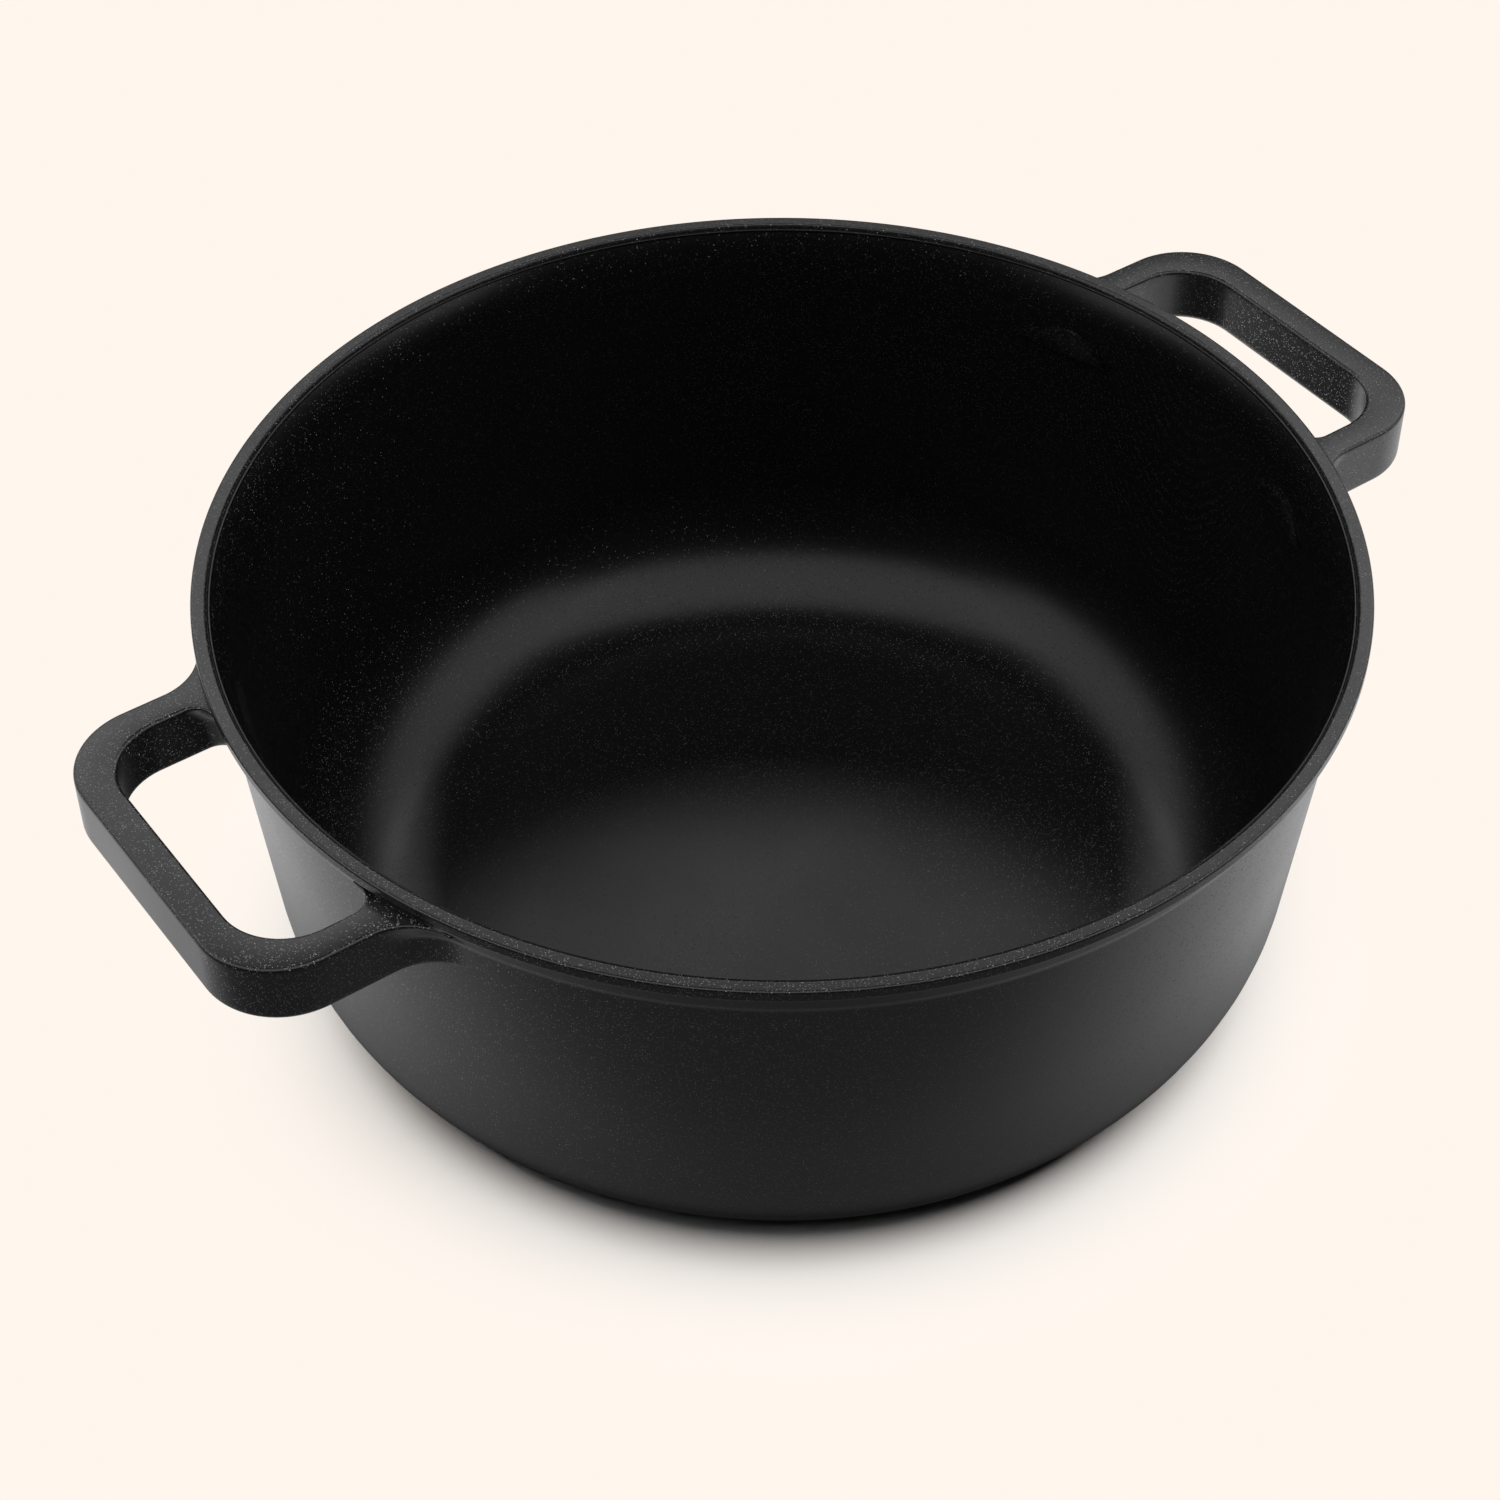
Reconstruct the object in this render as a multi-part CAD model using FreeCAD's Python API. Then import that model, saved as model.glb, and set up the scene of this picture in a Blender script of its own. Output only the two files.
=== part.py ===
"""Open dutch oven: a cast pot with two cast-on loop handles, an inner and an outer fired coat.

Units are millimetres. +Z is up, the handles lie along X, and the origin is the centre of the
plane that the pot stands on.
"""

import FreeCAD, Part
import math
import os

# ---------------------------------------------------------------- driving dimensions
RIM_R = 130.0            # outer radius of the rim
HEIGHT = 109.0           # table to rim
RIM_LAND = 3.05          # width of the flat top of the rim
RIM_BAND = 2.5           # height of the upright band round the rim
FLARE_DROP = 9.4         # rim top to the foot of the flare
FLARE_R = 125.9          # wall radius at the foot of the flare
BASE_R = 116.9           # wall line carried down to the table
BASE_CORNER = 37.0       # outer radius between wall and base
WALL = 3.2               # wall thickness, coats included
FLOOR_Z = 4.4            # cooking surface above the table
FLOOR_CORNER = 35.0      # inner radius between wall and floor
INNER_FLARE = 26.0       # bend radius of the inner wall below the rim
INNER_FLARE_DROP = 6.45  # rim top to that bend's corner
EDGE = 0.6               # rounding of the rim's edges
BAND_EDGE = 1.2          # rounding under the band
FLARE_BLEND = 6.0        # rounding at the foot of the flare

FOOT_HEIGHT = 0.8        # foot ring below the base
FOOT_R_IN = 62.0
FOOT_R_OUT = 78.0

COAT = 0.4               # thickness of each fired coat

HANDLE_REACH = 159.5     # pot axis to the outer face of a grip
HANDLE_HALF = 43.2       # half of the handle's width
HANDLE_CORNER = 18.2     # outer corner radius, in plan
HOLE_REACH = 151.7       # pot axis to the inner face of a grip
HOLE_HALF = 35.7         # half of the finger hole's width
HOLE_CORNER = 14.5       # corner radius of the finger hole
HANDLE_TOP = 105.0       # top face of the handles
HANDLE_DEPTH = 14.6      # depth of the handles
ROOT_FLARE = 13.0        # radius where a handle's side runs into the wall
ROOT_DEPTH = 0.92        # the loop starts at this share of the wall's radius, inside the wall
GRIP_TOP_EDGE = 0.9      # rounding of the handle's top edges
GRIP_UNDER_EDGE = 1.6    # rounding of the handle's lower edges

BASE_SPLIT = 40.0        # top of the base, where the corner runs into the wall
BASE_FLAT_R = 74.0       # radius of the flat floor, where the corner begins

AXIS_BASE = FreeCAD.Vector(0, 0, 0)
UP = FreeCAD.Vector(0, 0, 1)
OVERSHOOT = 8.0          # a profile runs this far past the axis, so that an offset stays closed on it


# ---------------------------------------------------------------- helpers
def rounded_outline(corners, to_point):
    """Closed wire through corners (a, b, radius); to_point(a, b) places a point in space."""
    points = [to_point(a, b) for a, b, _ in corners]
    radii = [radius for _, _, radius in corners]
    starts, ends, edges = [], [], []
    count = len(points)
    for i, (corner, radius) in enumerate(zip(points, radii)):
        back = (points[i - 1] - corner).normalize()
        ahead = (points[(i + 1) % count] - corner).normalize()
        if radius == 0:
            starts.append(corner)
            ends.append(corner)
            continue
        half = back.getAngle(ahead) / 2
        reach = radius / math.tan(half)
        middle = (back + ahead).normalize()
        centre = corner + middle * (radius / math.sin(half))
        starts.append(corner + back * reach)
        ends.append(corner + ahead * reach)
        edges.append(Part.Arc(starts[-1], centre - middle * radius, ends[-1]).toShape())
    for i in range(count):
        start, end = ends[i], starts[(i + 1) % count]
        if start.distanceToPoint(end) > 1e-6:
            edges.append(Part.LineSegment(start, end).toShape())
    return Part.Wire(Part.__sortEdges__(edges))


def section_point(r, z):
    return FreeCAD.Vector(r, 0, z)


def revolve(face):
    """Solid of revolution from the half of a section face that lies at positive radius."""
    big = 4 * RIM_R
    half = Part.makeBox(big, 2, big, FreeCAD.Vector(0, -1, -RIM_R))
    kept = face.common(half)
    solid = kept.Faces[0].revolve(AXIS_BASE, UP, 360)
    return solid


def wall_radius(z):
    """Outer radius of the plain wall at height z."""
    slope = (FLARE_R - BASE_R) / (HEIGHT - FLARE_DROP)
    return BASE_R + slope * z


def inner_radius(z):
    return wall_radius(z) - WALL / math.cos(math.atan((FLARE_R - BASE_R) / (HEIGHT - FLARE_DROP)))


def pot_section(inset):
    """Section face of the coated casting, or of the bare casting when inset is the coat."""
    rim_in = RIM_R - RIM_LAND
    under = FOOT_HEIGHT
    bend_z = HEIGHT - INNER_FLARE_DROP
    corners = [
        (-OVERSHOOT, under, 0),
        (wall_radius(under), under, BASE_CORNER),
        (FLARE_R, HEIGHT - FLARE_DROP, FLARE_BLEND),
        (RIM_R, HEIGHT - RIM_BAND, BAND_EDGE),
        (RIM_R, HEIGHT, EDGE),
        (rim_in, HEIGHT, EDGE),
        (inner_radius(bend_z), bend_z, INNER_FLARE),
        (inner_radius(FLOOR_Z), FLOOR_Z, FLOOR_CORNER),
        (-OVERSHOOT, FLOOR_Z, 0),
    ]
    face = Part.Face(rounded_outline(corners, section_point))
    if inset:
        face = face.makeOffset2D(-inset)
    return face


def mid_wall_plug():
    """Solid that fills the pot out to the middle of its wall: it parts inside from outside."""
    corners = [
        (-OVERSHOOT, FOOT_HEIGHT, 0),
        (wall_radius(FOOT_HEIGHT), FOOT_HEIGHT, BASE_CORNER),
        (FLARE_R, HEIGHT - FLARE_DROP, FLARE_BLEND),
        (RIM_R, HEIGHT - RIM_BAND, BAND_EDGE),
        (RIM_R, HEIGHT, 0),
        (-OVERSHOOT, HEIGHT, 0),
    ]
    return revolve(Part.Face(rounded_outline(corners, section_point)).makeOffset2D(-WALL / 2))


def plan_outline(side, z, wall_r):
    """Outline of a loop in plan: straight sides that flare into a wall of radius wall_r."""
    flare_y = HANDLE_HALF + ROOT_FLARE
    flare_x = math.sqrt((wall_r + ROOT_FLARE) ** 2 - flare_y ** 2)
    on_wall = wall_r / (wall_r + ROOT_FLARE)
    corner_x = HANDLE_REACH - HANDLE_CORNER
    corner_y = HANDLE_HALF - HANDLE_CORNER
    diagonal = math.sqrt(0.5)

    def place(x, y):
        return FreeCAD.Vector(side * x, y, z)

    edges = []
    for across in (-1, 1):
        touch_wall = place(flare_x * on_wall, across * flare_y * on_wall)
        touch_side = place(flare_x, across * HANDLE_HALF)
        swing = math.atan2(-flare_y, -flare_x) / 2 - math.pi / 4
        middle = place(
            flare_x + ROOT_FLARE * math.cos(swing),
            across * (flare_y + ROOT_FLARE * math.sin(swing)),
        )
        inside = place(
            flare_x * on_wall * ROOT_DEPTH, across * flare_y * on_wall * ROOT_DEPTH
        )
        corner_start = place(corner_x, across * HANDLE_HALF)
        corner_end = place(HANDLE_REACH, across * corner_y)
        corner_middle = place(
            corner_x + HANDLE_CORNER * diagonal,
            across * (corner_y + HANDLE_CORNER * diagonal),
        )
        edges.append(Part.LineSegment(inside, touch_wall).toShape())
        edges.append(Part.Arc(touch_wall, middle, touch_side).toShape())
        edges.append(Part.LineSegment(touch_side, corner_start).toShape())
        edges.append(Part.Arc(corner_start, corner_middle, corner_end).toShape())
    root_x = flare_x * on_wall * ROOT_DEPTH
    root_y = flare_y * on_wall * ROOT_DEPTH
    edges.append(Part.LineSegment(place(root_x, -root_y), place(root_x, root_y)).toShape())
    edges.append(
        Part.LineSegment(place(HANDLE_REACH, -corner_y), place(HANDLE_REACH, corner_y)).toShape()
    )
    return Part.Wire(Part.__sortEdges__(edges))


def finger_hole(side):
    """Block with rounded outer corners that opens a loop right through."""
    bottom = HANDLE_TOP - HANDLE_DEPTH - 1

    def place(reach, across):
        return FreeCAD.Vector(side * reach, across, bottom)

    root = RIM_R * 0.75
    corners = [
        (root, -HOLE_HALF, 0),
        (HOLE_REACH, -HOLE_HALF, HOLE_CORNER),
        (HOLE_REACH, HOLE_HALF, HOLE_CORNER),
        (root, HOLE_HALF, 0),
    ]
    return Part.Face(rounded_outline(corners, place)).extrude(UP * (HANDLE_DEPTH + 2))


def is_rim_of_loop(edge, z):
    """True for an edge of the loop's flat face at height z, away from the pot's wall."""
    points = edge.discretize(5)
    flat = all(abs(point.z - z) < 1e-4 for point in points)
    clear = all(math.hypot(point.x, point.y) > RIM_R + 1 for point in points)
    return flat and clear


def handle_loop(side):
    """One loop handle, before its root is trimmed to the casting."""
    bottom_z = HANDLE_TOP - HANDLE_DEPTH
    foot_z = HEIGHT - FLARE_DROP
    top_r = FLARE_R + (RIM_R - FLARE_R) * (HANDLE_TOP - foot_z) / (FLARE_DROP - RIM_BAND)
    lower = Part.Face(plan_outline(side, bottom_z, FLARE_R)).extrude(UP * (foot_z - bottom_z))
    upper = Part.makeLoft(
        [plan_outline(side, foot_z, FLARE_R), plan_outline(side, HANDLE_TOP, top_r)], True, True
    )
    loop = lower.fuse(upper).removeSplitter().cut(finger_hole(side))
    solid = loop.Solids[0]
    for z, radius in ((HANDLE_TOP, GRIP_TOP_EDGE), (bottom_z, GRIP_UNDER_EDGE)):
        edges = [edge for edge in solid.Edges if is_rim_of_loop(edge, z)]
        solid = solid.makeFillet(radius, edges)
    return solid


def slab(low, high, r_out, r_in=0.0):
    """Round slab or washer about the pot's axis, between two heights."""
    disc = Part.makeCylinder(r_out, high - low, FreeCAD.Vector(0, 0, low))
    if r_in:
        disc = disc.cut(Part.makeCylinder(r_in, high - low, FreeCAD.Vector(0, 0, low)))
    return disc


# ---------------------------------------------------------------- sub-parts
def build_foot_ring():
    """Ground ring that the pot stands on. It stands out of the coat, which stops at its sides."""
    return slab(0, FOOT_HEIGHT + COAT, FOOT_R_OUT, FOOT_R_IN)


def build_castings():
    """The bare iron pot, divided into floor, corner, side wall and rim lip."""
    casting = revolve(pot_section(COAT))
    foot_z = HEIGHT - FLARE_DROP
    beyond = 2 * RIM_R
    return {
        "base_floor": casting.common(slab(0, BASE_SPLIT, BASE_FLAT_R)),
        "base_corner": casting.common(slab(0, BASE_SPLIT, beyond, BASE_FLAT_R)),
        "side_wall": casting.common(slab(BASE_SPLIT, foot_z, beyond)),
        "rim_lip": casting.common(slab(foot_z, HEIGHT, beyond)),
    }


def build_coats(handles):
    """Inner coat up to just below the rim, and outer coat over the rim and down to the foot."""
    skin = revolve(pot_section(0)).cut(revolve(pot_section(COAT)))
    inside = mid_wall_plug()
    outer = skin.cut(inside).cut(build_foot_ring())
    for handle in handles:
        outer = outer.cut(handle)
    return {"inner_coat": skin.common(inside), "outer_coat": outer}


def build_handles():
    """Both loops, each trimmed so that its root stands on the iron and passes through the coat."""
    casting = revolve(pot_section(COAT))
    plug = mid_wall_plug()
    return {
        name: handle_loop(side).cut(plug).cut(casting)
        for name, side in (("left_handle", -1), ("right_handle", 1))
    }


def main():
    os.makedirs("parts", exist_ok=True)
    parts = build_castings()
    parts.update(build_handles())
    parts.update(build_coats([parts["left_handle"], parts["right_handle"]]))
    parts["foot_ring"] = build_foot_ring()
    for name, shape in parts.items():
        shape = shape.removeSplitter()
        box = shape.BoundBox
        print(
            f"{name}: {len(shape.Solids)} solid, valid {shape.isValid()}, "
            f"{shape.Volume / 1000:.2f} cm3, z {box.ZMin:.2f} to {box.ZMax:.2f}"
        )
        shape.exportStep(f"parts/{name}.step")


main()
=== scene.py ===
# %% [markdown]
# # An open dutch oven, cast in iron and coated black
# The real object is one casting: a round pot with a loop handle on each side, then a thin fired
# coat inside and out. The shape is already settled by the imported model, which we load first. What
# is left for Blender is the look: smooth surfaces, the small roundings where the light catches,
# the speckled satin coat, and soft studio light. We keep the imported model's box.

# %% Load the frame
import bpy
import math
import numpy as np
from mathutils import Matrix, Vector


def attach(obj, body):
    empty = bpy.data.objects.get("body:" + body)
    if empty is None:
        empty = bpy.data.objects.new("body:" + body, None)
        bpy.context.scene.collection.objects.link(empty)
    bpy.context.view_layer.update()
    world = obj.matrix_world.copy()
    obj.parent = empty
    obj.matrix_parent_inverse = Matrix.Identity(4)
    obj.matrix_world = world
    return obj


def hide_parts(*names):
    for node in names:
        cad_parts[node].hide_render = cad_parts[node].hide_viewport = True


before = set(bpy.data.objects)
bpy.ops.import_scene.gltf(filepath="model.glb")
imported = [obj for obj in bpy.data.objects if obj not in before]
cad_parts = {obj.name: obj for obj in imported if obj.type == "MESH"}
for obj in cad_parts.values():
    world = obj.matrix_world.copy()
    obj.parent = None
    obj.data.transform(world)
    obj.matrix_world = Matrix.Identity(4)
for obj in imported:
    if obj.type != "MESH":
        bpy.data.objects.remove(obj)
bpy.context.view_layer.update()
mm = 0.001
print("nodes:", sorted(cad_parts))

# %% [markdown]
# ## Turning numbers into a mesh
# A surface here is a grid: one index runs along a section, the other along a sweep. numpy works
# out all the corners at once, and four neighbours on the grid make one face. That is exact and
# quick, and every rounding has as many faces as it needs. Two helpers are all we need: one that
# lists the faces of a grid, and one that hands points and faces to Blender and turns the faces
# outwards if needed.

# %% Grid faces and a mesh builder
def grid_faces(rows, columns, wrap_rows, wrap_columns):
    """Face (i, j) joins points (i, j), (i+1, j), (i+1, j+1) and (i, j+1) of a rows x columns grid.
    A wrapped direction joins its last line back to its first."""
    i = np.arange(rows if wrap_rows else rows - 1)[:, None]
    j = np.arange(columns if wrap_columns else columns - 1)[None, :]
    i2, j2 = (i + 1) % rows, (j + 1) % columns
    quads = [i * columns + j, i2 * columns + j, i2 * columns + j2, i * columns + j2]
    return np.stack(np.broadcast_arrays(*quads), -1).reshape(-1, 4)


def fan_faces(hub, ring):
    """Triangle k joins the hub to points k and k+1 of a closed ring."""
    return np.stack([np.full(len(ring), hub), ring, np.roll(ring, -1)], -1)


def signed_volume(points, faces):
    """Sum over faces of a . (b x c) / 6, with a four-sided face taken as two triangles.
    It is positive when the faces of a closed surface point outwards."""
    total = 0.0
    for k in range(1, faces.shape[1] - 1):
        a, b, c = (points[faces[:, n]] for n in (0, k, k + 1))
        total += np.einsum("ij,ij->", a, np.cross(b, c)) / 6
    return total


def build_mesh(name, points, quads, triangles=None):
    """Makes a smooth-shaded object from numpy arrays, with its place in its mesh."""
    points = np.asarray(points, float)
    volume = signed_volume(points, quads)
    if triangles is not None and len(triangles):
        volume += signed_volume(points, triangles)
    flip = slice(None, None, -1 if volume < 0 else 1)
    faces = quads[:, flip].tolist()
    if triangles is not None:
        faces += triangles[:, flip].tolist()
    mesh = bpy.data.meshes.new(name)
    mesh.from_pydata(points, [], faces)
    mesh.polygons.foreach_set("use_smooth", np.ones(len(mesh.polygons), bool))
    mesh.update()
    piece = bpy.data.objects.new(name, mesh)
    bpy.context.scene.collection.objects.link(piece)
    print(f"{name}: {len(points)} points, {len(faces)} faces, {abs(volume) * 1e6:.1f} cm3")
    return piece


# %% [markdown]
# ## The pot's section
# A pot is a section turned round its axis. The section is a chain of straight lines with a radius
# at each corner, as a drawing of the casting would give it, so one helper draws any such chain.
# Beside each arc it adds a point on the straight line, a fraction of a millimetre away. Smooth
# shading blends normals from point to point, and these extra points keep that blend inside the
# arc.

# %% Straight lines joined by arcs
def rounded_chain(corners, per_arc=10, beside=0.25 * mm):
    """Points along straight lines through corners (a, b, radius), each corner rounded by an arc.
    The arc touches both lines at radius / tan(half the angle) from the corner."""
    corners = np.array(corners, float)
    chain = [corners[0, :2]]
    for before, (a, b, radius), after in zip(corners, corners[1:], corners[2:]):
        here = np.array([a, b])
        back, ahead = before[:2] - here, after[:2] - here
        back, ahead = back / np.linalg.norm(back), ahead / np.linalg.norm(ahead)
        half = math.acos(np.clip(back @ ahead, -1, 1)) / 2
        reach = radius / math.tan(half)
        middle = (back + ahead) / np.linalg.norm(back + ahead)
        centre = here + middle * radius / math.sin(half)
        start, end = here + back * reach - centre, here + ahead * reach - centre
        sweep = math.pi - 2 * half
        t = np.linspace(0, 1, per_arc)[:, None]
        swing = np.sin((1 - t) * sweep) * start + np.sin(t * sweep) * end
        arc = centre + swing / math.sin(sweep)
        chain += [arc[0] + back * beside, *arc, arc[-1] + ahead * beside]
    chain.append(corners[-1, :2])
    return np.array(chain)


# %% [markdown]
# The outside runs from the foot ring up a large corner, up a wall that leans out a little, out
# over the flare to an upright band, and over the flat rim. The inside runs down from the rim
# through a gentle bend, parallel to the outside, and through a large corner to the flat cooking
# surface.

# %% The section's dimensions
rim_r, height = 130.0 * mm, 109.0 * mm
rim_land, rim_band = 3.05 * mm, 2.5 * mm
rim_edge, band_edge = 0.6 * mm, 1.2 * mm
flare_r, flare_z, flare_blend = 125.9 * mm, 99.6 * mm, 6.0 * mm
base_r, base_z, base_corner = 116.97 * mm, 0.8 * mm, 37.0 * mm
foot_in, foot_out = 62.0 * mm, 78.0 * mm
floor_z, floor_corner = 4.4 * mm, 35.0 * mm
coat = 0.4 * mm
coats_meet = height - 1.6 * mm
wall, inner_bend = 3.2 * mm, 26.0 * mm
lean = (flare_r - base_r) / (flare_z - base_z)
wall_across = wall * math.hypot(1, lean)


def wall_radius(z):
    """Outer radius of the plain wall at height z: a straight line leaning out by lean."""
    return flare_r + lean * (z - flare_z)


bend_z = height - 6.45 * mm
bend_r = wall_radius(bend_z) - wall_across
inner_base_r = wall_radius(floor_z) - wall_across
rim_in = rim_r - rim_land
down_share = (height - coats_meet) / (height - bend_z)
meet_r = rim_in + (bend_r - rim_in) * down_share
print(f"wall leans out {math.degrees(math.atan(lean)):.1f} degrees")
print(f"inner radius at the floor {inner_base_r / mm:.1f} mm")

# %% [markdown]
# The flare's straight run has only two points, one at each end. The handles' roots will change its
# shape later, so it is given rows of its own here.

# %% The two faces of the pot
outside = rounded_chain([
    (foot_out, base_z, 0),
    (base_r, base_z, base_corner),
    (flare_r, flare_z, flare_blend),
    (rim_r, height - rim_band, band_edge),
    (rim_r, height, rim_edge),
    (rim_in, height, rim_edge),
    (meet_r, coats_meet, 0),
], per_arc=18)
on_flare = (outside[:, 1] > flare_z) & (outside[:, 1] < height - rim_band)
past_blend = outside[:, 0] > flare_r + 0.5 * mm
flare_foot, flare_head = np.flatnonzero(on_flare & past_blend)[:2]
flare_rows = np.linspace(outside[flare_foot], outside[flare_head], 42)[1:-1]
outside = np.insert(outside, flare_head, flare_rows, axis=0)
inside = rounded_chain([
    (0.0, floor_z, 0),
    (inner_base_r, floor_z, floor_corner),
    (bend_r, bend_z, inner_bend),
    (meet_r, coats_meet, 0),
], per_arc=32)
print("points in the outside and inside sections:", len(outside), len(inside))


# %% [markdown]
# ## A coat is a skin
# Each coat has a front and a back. The back is the same chain moved inwards by the coat's
# thickness, along the chain's own normals, and the two are joined at their ends. Turned round the
# axis, that makes a closed skin that sits on the iron.

# %% Skins and turning
turn_steps = 720


def thicken(chain, depth):
    """The chain followed by its own copy, moved depth to its left and run backwards.
    Left is the direction of travel turned by a quarter."""
    travel = np.gradient(chain, axis=0)
    travel /= np.linalg.norm(travel, axis=1)[:, None]
    left = np.stack([-travel[:, 1], travel[:, 0]], -1)
    return np.vstack([chain, (chain + left * depth)[::-1]])


def turn(section, radius_at=None):
    """Point (k, j) of the section turned to angle t_j: (r cos t, r sin t, z).
    radius_at(r, z, t) may change the radius with the angle."""
    t = np.linspace(0, 2 * math.pi, turn_steps, endpoint=False)[None, :]
    r, z = section[:, :1] + 0 * t, section[:, 1:] + 0 * t
    if radius_at is not None:
        r = radius_at(r, z, t + 0 * r)
    return np.stack([r * np.cos(t), r * np.sin(t), z], -1)


def lathe(name, section, poles, radius_at=None):
    """Turned surface of a closed section, or of one whose two ends lie on the axis (poles). At a
    pole a fan closes the grid's last ring, and runs along it the other way from the grid."""
    body = section[1:-1] if poles else section
    points = turn(body, radius_at).reshape(-1, 3)
    rows = len(body)
    quads = grid_faces(rows, turn_steps, not poles, True)
    if not poles:
        return build_mesh(name, points, quads)
    ends = np.array([[0, 0, section[0, 1]], [0, 0, section[-1, 1]]])
    ring = np.arange(turn_steps)
    first = fan_faces(len(points), ring)
    last = fan_faces(len(points) + 1, ring + (rows - 1) * turn_steps)[:, ::-1]
    return build_mesh(name, np.vstack([points, ends]), quads, np.vstack([first, last]))


# %% [markdown]
# ## Where a handle meets the rim
# Round most of the pot the flare is undercut beneath the band. At each handle's root the iron
# fills that undercut, so the band runs straight down to the handle's top face and ends in a tiny
# fillet. The turned surface gets this by letting its radius depend on the angle, near the four
# roots only.

# %% Filling the flare at the roots
handle_top, handle_bottom = 105.0 * mm, 90.4 * mm
handle_half, hole_half = 43.2 * mm, 35.7 * mm
root_flare, root_fillet = 13.0 * mm, 0.5 * mm
root_start = math.asin((hole_half - 1.5 * mm) / rim_r)
root_end = math.asin((handle_half + 9.0 * mm) / rim_r)
fade_turn, fade_z = math.radians(0.9), 0.6 * mm
fill_from_r, fill_to_z = flare_r - 0.2 * mm, height - rim_band + 0.9 * mm
print(f"a root runs from {math.degrees(root_start):.1f} to {math.degrees(root_end):.1f} degrees")


def ease(x):
    """0 below 0, 1 above 1, and 3x^2 - 2x^3 between."""
    x = np.clip(x, 0, 1)
    return x * x * (3 - 2 * x)


def fill_roots(r, z, t):
    """Radius with the undercut filled out to the band beside each root. At the handle's top face
    the filled radius is the rim's, less a quarter-circle fillet of radius root_fillet. The fill
    fades in over the angle fade_turn and, below the top face, over the height fade_z."""
    from_x = np.abs(np.arctan2(np.abs(np.sin(t)), np.abs(np.cos(t))))
    share = ease((from_x - root_start) / fade_turn) * ease((root_end - from_x) / fade_turn)
    up = np.clip((z - handle_top) / root_fillet, 0, 1)
    fillet = root_fillet * (1 - np.sqrt(1 - (1 - up) ** 2))
    full = rim_r + fillet
    below = ease((z - (handle_top - fade_z)) / fade_z)
    filled = r + (full - r) * below
    outer_face = (r > fill_from_r) & (z < fill_to_z)
    return np.where(outer_face, r + (np.maximum(filled, r) - r) * share, r)


# %% The two coats
outer_section = thicken(outside, coat)
inner_section = thicken(inside, -coat)
inner_section[[0, -1], 0] = 0.0
outer_coat = lathe("outer_coat_skin", outer_section, False, fill_roots)
inner_coat = lathe("inner_coat_skin", inner_section, True)
disc_edge = 0.05 * mm
disc = rounded_chain([
    (0.0, base_z, 0),
    (foot_in, base_z, disc_edge),
    (foot_in, base_z + coat, disc_edge),
    (0.0, base_z + coat, 0),
], per_arc=3, beside=0.01 * mm)
base_disc = lathe("base_disc_coat", disc, True)

# %% [markdown]
# ## The loop handles
# Each handle is a flat loop, cast on. Seen from above it has two outlines: the outer edge and the
# edge of the finger gap. Both start inside the wall, curve out of it on an arc that just touches
# it, run straight, turn a corner and cross the grip. We draw both with the same count of points,
# so that point k of one lies beside point k of the other. The wall's radius changes with height,
# so each outline is drawn for the wall it meets at that height.

# %% A handle's outlines, seen from above
reach_out, reach_hole = 159.5 * mm, 151.7 * mm
corner_out, corner_hole = 18.2 * mm, 14.5 * mm
flare_hole = 4.5 * mm
root_points, corner_points, straight_points = 22, 26, 14
hidden_turn = np.array([0.030, 0.014])
hidden_depth = np.array([3.0, 0.15]) * mm


def outline(wall_r, half, reach, corner, root, inward):
    """Half a loop's outline: inside the wall, root arc, side, corner arc, half the grip; then its
    mirror image. The root arc, of radius root, touches both the wall's circle and the side: its
    centre is wall_r + root from the axis. inward is -1 where that arc lies on the side of the
    finger gap. Two hidden points lie hidden_depth inside the wall, hidden_turn past the touch."""
    c_y = half + inward * root
    c_x = math.sqrt((wall_r + root) ** 2 - c_y ** 2)
    touch = np.array([c_x, c_y]) * wall_r / (wall_r + root)
    start = math.atan2(touch[1] - c_y, touch[0] - c_x)
    end = -inward * math.pi / 2
    if inward < 0:
        start %= 2 * math.pi
    a = np.linspace(start, end, root_points)
    root_arc = np.stack([c_x + root * np.cos(a), c_y + root * np.sin(a)], -1)
    b = np.linspace(math.pi / 2, 0, corner_points)
    pivot_x, pivot_y = reach - corner, half - corner
    turn_arc = np.stack([pivot_x + corner * np.cos(b), pivot_y + corner * np.sin(b)], -1)
    s = np.linspace(0, 1, straight_points)[:, None]
    side = root_arc[-1] + (turn_arc[0] - root_arc[-1]) * s[1:-1]
    grip_end = np.array([reach, 0.0])
    grip = turn_arc[-1] + (grip_end - turn_arc[-1]) * s[1:]
    past = math.atan2(touch[1], touch[0]) + inward * hidden_turn
    within = wall_r - hidden_depth
    hidden = np.stack([within * np.cos(past), within * np.sin(past)], -1)
    quarter = np.vstack([hidden, root_arc, side, turn_arc, grip])
    return np.vstack([quarter, quarter[-2::-1] * [1, -1]])


def to_left(line):
    """Unit vectors a quarter turn to the left of the way the line runs."""
    run = np.gradient(line, axis=0)
    run /= np.linalg.norm(run, axis=1)[:, None]
    return np.stack([-run[:, 1], run[:, 0]], -1)


def wall_at(z):
    """Radius that a handle's root meets: the wall, then the filled flare out to the rim."""
    if z <= flare_z:
        return wall_radius(z)
    return float(np.interp(z, [flare_z, handle_top], [flare_r, rim_r]))


def outer_edge(z, inset):
    """Outer outline at height z, moved into the iron by inset."""
    line = outline(wall_at(z), handle_half, reach_out, corner_out, root_flare, 1)
    return line - to_left(line) * inset


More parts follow.
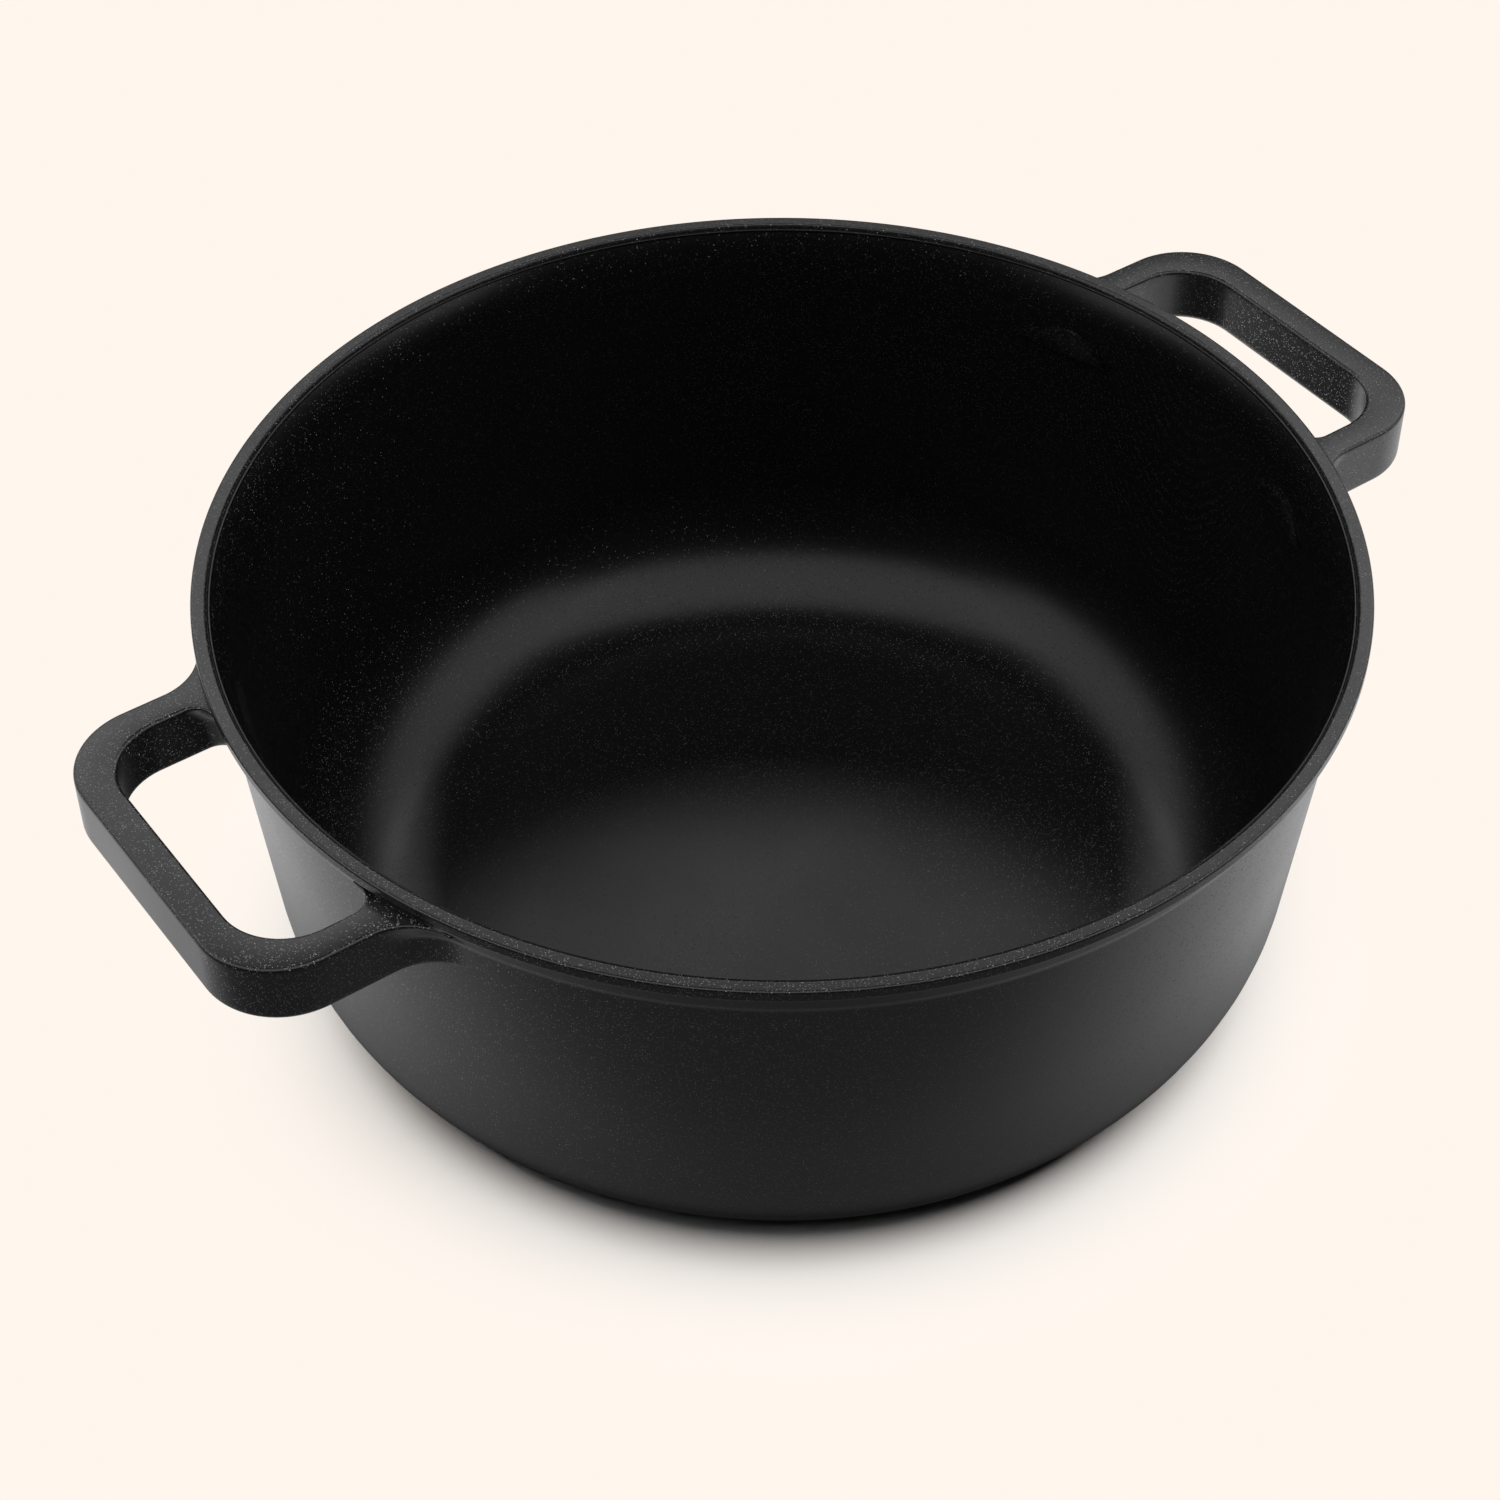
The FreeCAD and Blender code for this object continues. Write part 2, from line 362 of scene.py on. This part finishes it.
def hole_edge(z, inset):
    """Outline of the finger gap at height z, moved into the iron by inset."""
    line = outline(wall_at(z), hole_half, reach_hole, corner_hole, flare_hole, -1)
    return line + to_left(line) * inset


print("outline points:", len(outer_edge(handle_top, 0)))

# %% [markdown]
# The loop's section is a rectangle with rounded corners: small ones on top, larger ones below,
# where the fingers go. Going round the section, each station says which outline it follows, how
# far it is moved into the iron, and its height. Stacking the stations gives the grid. Each end
# lies inside the wall, and gets a fan of triangles so that the solid is closed.

# %% A handle's surface
top_edge, under_edge_out, under_edge_hole = 0.9 * mm, 1.6 * mm, 2.2 * mm
outer_rows, hole_rows = 14, 12


def rounding(edge, radius, z_flat, down, count=9):
    """Stations round one corner of the section: inset radius (1 - sin a) and height
    radius (1 - cos a) from the flat face, as a goes from the flat face (0) to the upright one
    (a quarter turn)."""
    a = np.linspace(0, math.pi / 2, count)
    heights = z_flat + down * radius * (1 - np.cos(a))
    insets = radius * (1 - np.sin(a))
    return [(edge, float(z), float(inset)) for z, inset in zip(heights, insets)]


def loop_points():
    """Grid of points: station by station round the section, and along the loop."""
    under_top = handle_top - top_edge
    outer_z = np.linspace(under_top, handle_bottom + under_edge_out, outer_rows)[1:-1]
    hole_z = np.linspace(handle_bottom + under_edge_hole, under_top, hole_rows)[1:-1]
    outer_side = [(outer_edge, float(z), 0.0) for z in outer_z]
    hole_side = [(hole_edge, float(z), 0.0) for z in hole_z]
    stations = rounding(outer_edge, top_edge, handle_top, -1)
    stations += outer_side
    stations += rounding(outer_edge, under_edge_out, handle_bottom, 1)[::-1]
    stations += rounding(hole_edge, under_edge_hole, handle_bottom, 1)
    stations += hole_side
    stations += rounding(hole_edge, top_edge, handle_top, -1)[::-1]
    rows = []
    for edge, z, inset in stations:
        plan = edge(z, inset)
        rows.append(np.column_stack([plan, np.full(len(plan), z)]))
    return np.array(rows)


def build_handle(name, side):
    """Closed loop on the +X side, or turned half a turn about the axis where side is -1."""
    grid = loop_points()
    rows, columns = grid.shape[:2]
    points = grid.reshape(-1, 3) * [side, side, 1]
    quads = grid_faces(rows, columns, True, False)
    ring = np.arange(rows) * columns
    hubs = np.array([points[ring].mean(0), points[ring + columns - 1].mean(0)])
    first = fan_faces(len(points), ring)[:, ::-1]
    last = fan_faces(len(points) + 1, ring + columns - 1)
    return build_mesh(name, np.vstack([points, hubs]), quads, np.vstack([first, last]))


right_loop = build_handle("right_loop", 1)
left_loop = build_handle("left_loop", -1)


# %% [markdown]
# ## The coat's finish
# The coat is black and satin, with fine bright flecks in it, like metallic paint. Light comes off
# it in three ways: the black body of the coat, the flecks, each a tiny tilted mirror, and the
# faint waviness of a sprayed surface. Voronoi cells scatter the flecks: every cell gets a random
# number, and only a few cells, near their centres, are let through. A slow noise varies the gloss,
# as wiped enamel does.

# %% Node helpers
def new_material(name):
    """An empty node material with its shader and output, as (material, tree, shader)."""
    material = bpy.data.materials.new(name)
    material.use_nodes = True
    tree = material.node_tree
    return material, tree, tree.nodes["Principled BSDF"]


def add(tree, kind, **inputs):
    """Adds a node. Each input is a number or colour to store, or an output socket to link.
    Its key is the socket's name, or i and the socket's number."""
    node = tree.nodes.new(kind)
    for key, value in inputs.items():
        by_number = key[1:].isdigit()
        socket = node.inputs[int(key[1:]) if by_number else key]
        if isinstance(value, bpy.types.NodeSocket):
            tree.links.new(value, socket)
        else:
            socket.default_value = value
    return node


def math_node(tree, operation, a, b=0.0):
    """One step of arithmetic on two numbers or sockets."""
    node = add(tree, "ShaderNodeMath", i0=a, i1=b)
    node.operation = operation
    return node.outputs[0]


def remap(tree, value, low, high, out_low, out_high):
    """Value carried from the range low..high to out_low..out_high, and kept inside it."""
    node = add(tree, "ShaderNodeMapRange", i0=value, i1=low, i2=high, i3=out_low, i4=out_high)
    return node.outputs[0]


# %% The speckled coat
fleck_reach = 0.42
fleck_tilt_centre = (0.5, 0.5, 0.5)
gloss_swing = 0.03


def speckled_coat(name, black, rough, mirror, fleck_share, fleck_size, fleck_bright):
    """Black satin coat. mirror is how strongly it mirrors (0.5 is plain enamel), fleck_size is the
    spacing of the cells in metres, and fleck_share the part of them that carry a fleck. A fleck
    covers its cell out to fleck_reach of the spacing, and leans by its cell's random colour."""
    material, tree, shader = new_material(name)
    shader.inputs["Specular IOR Level"].default_value = mirror
    place = add(tree, "ShaderNodeTexCoord").outputs["Object"]

    cells = add(tree, "ShaderNodeTexVoronoi", Vector=place, Scale=1 / fleck_size)
    random = add(tree, "ShaderNodeSeparateColor", i0=cells.outputs["Color"])
    chosen = math_node(tree, "LESS_THAN", random.outputs[0], fleck_share)
    near = math_node(tree, "LESS_THAN", cells.outputs["Distance"], fleck_reach)
    glint = math_node(tree, "POWER", random.outputs[1], 2.5)
    patches = add(tree, "ShaderNodeTexNoise", Vector=place, Scale=90.0, Detail=2.0)
    crowd = remap(tree, patches.outputs[0], 0.35, 0.65, 0.8, 1.0)
    fleck = math_node(tree, "MULTIPLY", math_node(tree, "MULTIPLY", chosen, near), crowd)
    shine = remap(tree, glint, 0.0, 1.0, 0.45, 1.0)
    strength = math_node(tree, "MULTIPLY", fleck, shine)

    colour = add(tree, "ShaderNodeMix", i0=strength)
    colour.data_type = "RGBA"
    colour.inputs["A"].default_value = (*black, 1)
    colour.inputs["B"].default_value = (*fleck_bright, 1)
    tree.links.new(colour.outputs["Result"], shader.inputs["Base Color"])
    tree.links.new(strength, shader.inputs["Metallic"])

    cloudy = add(tree, "ShaderNodeTexNoise", Vector=place, Scale=22.0, Detail=3.0)
    gloss = remap(tree, cloudy.outputs[0], 0.3, 0.7, rough - gloss_swing, rough + gloss_swing)
    tree.links.new(gloss, shader.inputs["Roughness"])

    spray = add(tree, "ShaderNodeTexNoise", Vector=place, Scale=900.0, Detail=2.0)
    waves = add(tree, "ShaderNodeBump", Strength=0.12, Distance=0.00005, Height=spray.outputs[0])
    lean_way = add(tree, "ShaderNodeVectorMath", i0=cells.outputs["Color"], i1=fleck_tilt_centre)
    lean_way.operation = "SUBTRACT"
    lean_by = add(tree, "ShaderNodeVectorMath", i0=lean_way.outputs[0], i3=fleck)
    lean_by.operation = "SCALE"
    tilted = add(tree, "ShaderNodeVectorMath", i0=waves.outputs[0], i1=lean_by.outputs[0])
    facing = add(tree, "ShaderNodeVectorMath", i0=tilted.outputs[0])
    facing.operation = "NORMALIZE"
    tree.links.new(facing.outputs[0], shader.inputs["Normal"])
    return material


outer_black, inner_black = (0.007, 0.007, 0.0073), (0.0045, 0.0045, 0.0047)
outer_finish = speckled_coat(
    "outer_black_satin", outer_black, rough=0.29, mirror=0.72,
    fleck_share=0.20, fleck_size=0.30 * mm, fleck_bright=(0.36, 0.36, 0.37))
inner_finish = speckled_coat(
    "inner_black_satin", inner_black, rough=0.28, mirror=0.43,
    fleck_share=0.16, fleck_size=0.30 * mm, fleck_bright=(0.15, 0.15, 0.155))
handle_finish = speckled_coat(
    "handle_black_satin", outer_black, rough=0.30, mirror=0.75,
    fleck_share=0.24, fleck_size=0.32 * mm, fleck_bright=(0.40, 0.40, 0.41))
for piece, finish in (
    (outer_coat, outer_finish),
    (base_disc, outer_finish),
    (inner_coat, inner_finish),
    (left_loop, handle_finish),
    (right_loop, handle_finish),
):
    piece.data.materials.append(finish)
    print(f"{piece.name}: {finish.name}")

# %% [markdown]
# Under the coat, and bare at the foot ring, is cast iron ground to a dull grey. A fine noise gives
# its grain, drives its gloss and raises tiny pits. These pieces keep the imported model's meshes.

# %% Bare iron
iron_finish, iron_tree, iron_shader = new_material("ground_iron")
iron_place = add(iron_tree, "ShaderNodeTexCoord").outputs["Object"]
grain = add(iron_tree, "ShaderNodeTexNoise", Vector=iron_place, Scale=700.0, Detail=6.0)
tone = add(iron_tree, "ShaderNodeValToRGB", i0=grain.outputs[0])
tone.color_ramp.elements[0].color = (0.05, 0.05, 0.052, 1)
tone.color_ramp.elements[1].color = (0.16, 0.16, 0.165, 1)
iron_tree.links.new(tone.outputs[0], iron_shader.inputs["Base Color"])
iron_shader.inputs["Metallic"].default_value = 0.85
iron_gloss = remap(iron_tree, grain.outputs[0], 0.3, 0.7, 0.42, 0.6)
iron_tree.links.new(iron_gloss, iron_shader.inputs["Roughness"])
pits = add(iron_tree, "ShaderNodeBump", Strength=0.25, Distance=0.0001, Height=grain.outputs[0])
iron_tree.links.new(pits.outputs[0], iron_shader.inputs["Normal"])
for node_name in ("base_floor", "base_corner", "side_wall", "rim_lip", "foot_ring"):
    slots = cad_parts[node_name].data.materials
    slots.clear()
    slots.append(iron_finish)
    print(f"{node_name}: {iron_finish.name}")

# %% [markdown]
# ## Which piece stands for what
# The imported model keeps its own solids for collision. Each new piece names the solid that it
# stands for, which then isn't shown, the body it moves with, and the finish it takes its name
# from, which the code below doesn't use. Nothing on this object moves, so there is one body.

# %% Ties to the imported model
for piece, node_name, slot_name in (
    (outer_coat, "outer_coat", "outer_coat"),
    (base_disc, "outer_coat", "outer_coat"),
    (inner_coat, "inner_coat", "inner_coat"),
    (left_loop, "left_handle", "coated_iron"),
    (right_loop, "right_handle", "coated_iron"),
):
    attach(piece, "root")
    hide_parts(node_name)
    print(f"{piece.name} stands for {node_name}")

# %% [markdown]
# ## Camera
# The view is from above the front left, 44 degrees above the horizon, with a long lens. The lens
# is given as a focal length for a 36 mm sensor, and the frame is square.

# %% Place the camera
view_turn = math.radians(-35.1)
view_down = 0.768077
view_roll = -0.00708
lens = 74.824
turned = Matrix.Rotation(view_turn, 4, "Z")
spot = Vector((-0.05558, -4.05351, 3.44811)) * rim_r + Vector((0, 0, height))
camera_data = bpy.data.cameras.new("camera")
camera_data.lens = lens
camera_data.sensor_width = 36.0
camera = bpy.data.objects.new("camera", camera_data)
bpy.context.scene.collection.objects.link(camera)
camera.matrix_world = (turned @ Matrix.Translation(spot)
                       @ Matrix.Rotation(math.pi / 2 - view_down, 4, "X")
                       @ Matrix.Rotation(view_roll, 4, "Z"))
bpy.context.scene.camera = camera
print("camera at", [round(v, 3) for v in camera.matrix_world.translation])

# %% [markdown]
# ## Floor
# The floor is a pale sheet. Near the pot it is a plain white surface, lit so brightly that only
# the pot's own soft shadow shows on it. Further out it turns into an even pale tone with no
# gradient, as a studio backdrop does. It is staging only: the pot doesn't mirror it.

# %% A pale floor
def ground(name, z, reach):
    """A square of side 2 * reach at height z."""
    mesh = bpy.data.meshes.new(name)
    corners = [(-reach, -reach, z), (reach, -reach, z), (reach, reach, z), (-reach, reach, z)]
    mesh.from_pydata(corners, [], [(0, 1, 2, 3)])
    plane = bpy.data.objects.new(name, mesh)
    bpy.context.scene.collection.objects.link(plane)
    return plane


def glow(name):
    """A material with an emission shader alone, as (material, tree, emission node)."""
    material, tree, shader = new_material(name)
    tree.nodes.remove(shader)
    lamp = add(tree, "ShaderNodeEmission")
    tree.links.new(lamp.outputs[0], tree.nodes["Material Output"].inputs[0])
    return material, tree, lamp


def from_axis(tree, place):
    """Distance from the pot's axis, measured on the floor."""
    length = add(tree, "ShaderNodeVectorMath", i0=place)
    length.operation = "LENGTH"
    return length.outputs["Value"]


def hide_from(piece, *rays):
    """Leaves a piece out of what the named kinds of ray can see."""
    for ray in rays:
        setattr(piece, "visible_" + ray, False)


pale = (1.0, 0.922, 0.847)
white_ends, pale_begins = 104 * mm, 165 * mm
floor = ground("floor", -0.2 * mm, 30.0)
floor_finish, floor_tree, floor_lamp = glow("pale_floor")
floor_lamp.inputs["Color"].default_value = (*pale, 1)
floor_place = add(floor_tree, "ShaderNodeTexCoord").outputs["Object"]
sheet = add(floor_tree, "ShaderNodeBsdfDiffuse", Color=(0.9, 0.9, 0.9, 1))
floor_radius = from_axis(floor_tree, floor_place)
white_left = remap(floor_tree, floor_radius, white_ends, pale_begins, 1.0, 0.0)
white = math_node(floor_tree, "POWER", white_left, 3.0)
blend = add(floor_tree, "ShaderNodeMixShader", i0=white,
            i1=floor_lamp.outputs[0], i2=sheet.outputs[0])
floor_tree.links.new(blend.outputs[0], floor_tree.nodes["Material Output"].inputs[0])
floor.data.materials.append(floor_finish)
hide_from(floor, "glossy", "diffuse", "shadow", "transmission")
print(f"floor: white to {white_ends / mm:.0f} mm, pale from {pale_begins / mm:.0f} mm")

# %% [markdown]
# ## Light
# A black satin pot is drawn by what it mirrors. The upright wall, seen from above, mirrors the
# floor beside it: bright to the sides and dim towards the viewer. A card on the floor, seen only
# in reflections, carries that fade. The flat rim and handles mirror a low panel behind the pot,
# and the inside corner mirrors wide panels overhead and at the sides. Each panel lights only the
# pot or only the floor, so that the two can be set apart.

# %% The card that the wall mirrors
fade_near, fade_far, dim, bright = -160 * mm, -20 * mm, 0.12, 0.95
shade_in, shade_out, shaded = 112 * mm, 150 * mm, 0.05
card = ground("floor_card", 0.2 * mm, 3.0)
card_finish, card_tree, card_lamp = glow("fading_card")
card_place = add(card_tree, "ShaderNodeTexCoord").outputs["Object"]
away_from_viewer = turned @ Vector((0.0, 1.0, 0.0))
depth = add(card_tree, "ShaderNodeVectorMath", i0=card_place, i1=tuple(away_from_viewer))
depth.operation = "DOT_PRODUCT"
fade = remap(card_tree, depth.outputs["Value"], fade_near, fade_far, dim, bright)
# Near the pot's axis the card's light drops to shaded: a painted shadow of the pot, darkening the
# floor that the wall mirrors near its base.
pot_shade = remap(card_tree, from_axis(card_tree, card_place), shade_in, shade_out, shaded, 1.0)
card_light = math_node(card_tree, "MULTIPLY", fade, pot_shade)
card_tree.links.new(card_light, card_lamp.inputs["Strength"])
card.data.materials.append(card_finish)
hide_from(card, "camera", "diffuse", "shadow", "transmission")
print(f"card: {dim} at {-fade_near / mm:.0f} mm towards the viewer, {bright} beside the pot")


# %% Panels
def lit_only(name, objects):
    """A collection that a light can be limited to."""
    group = bpy.data.collections.new(name)
    for piece in objects:
        group.objects.link(piece)
    return group


pot_only = lit_only("pot_only", [outer_coat, base_disc, inner_coat, left_loop, right_loop,
                                 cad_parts["foot_ring"]])
floor_only = lit_only("floor_only", [floor])


def panel(name, turn_deg, up_deg, away, width, tall, radiance, lights_up=pot_only):
    """Area light that faces the pot. turn_deg goes from the viewer's right (0) over the far side
    (90) to the left (180), and up_deg is the height above the floor, both seen from the pot.
    Its power is pi * area * radiance."""
    light = bpy.data.lights.new(name, "AREA")
    light.shape = "RECTANGLE"
    light.size, light.size_y = width, tall
    light.energy = math.pi * width * tall * radiance
    lamp = bpy.data.objects.new(name, light)
    bpy.context.scene.collection.objects.link(lamp)
    a, e = math.radians(turn_deg) + view_turn, math.radians(up_deg)
    toward = Vector((math.cos(e) * math.cos(a), math.cos(e) * math.sin(a), math.sin(e)))
    lamp.location = Vector((0, 0, 50 * mm)) + toward * away
    lamp.rotation_euler = toward.to_track_quat("Z", "Y").to_euler()
    lamp.light_linking.receiver_collection = lights_up
    hide_from(lamp, "camera")
    print(f"{name}: {light.energy:.1f} W")


panel("low_back_panel", 90, 43, 2.0, 2.3, 0.50, 1.6)
panel("left_panel", 168, 36, 1.6, 2.6, 1.3, 1.0)
panel("right_panel", 12, 36, 1.6, 2.6, 1.3, 1.0)
panel("top_panel", -90, 68, 1.6, 2.3, 1.40, 1.0)
panel("floor_panel", 0, 90, 1.45, 1.8, 1.8, 6.5, floor_only)

# %% The backdrop beyond the floor
world = bpy.data.worlds.new("studio")
bpy.context.scene.world = world
world.use_nodes = True
world.node_tree.nodes["Background"].inputs[0].default_value = (*pale, 1)
world.cycles_visibility.glossy = False
world.cycles_visibility.diffuse = False
bpy.context.scene.view_settings.view_transform = "Standard"
print("backdrop:", pale)
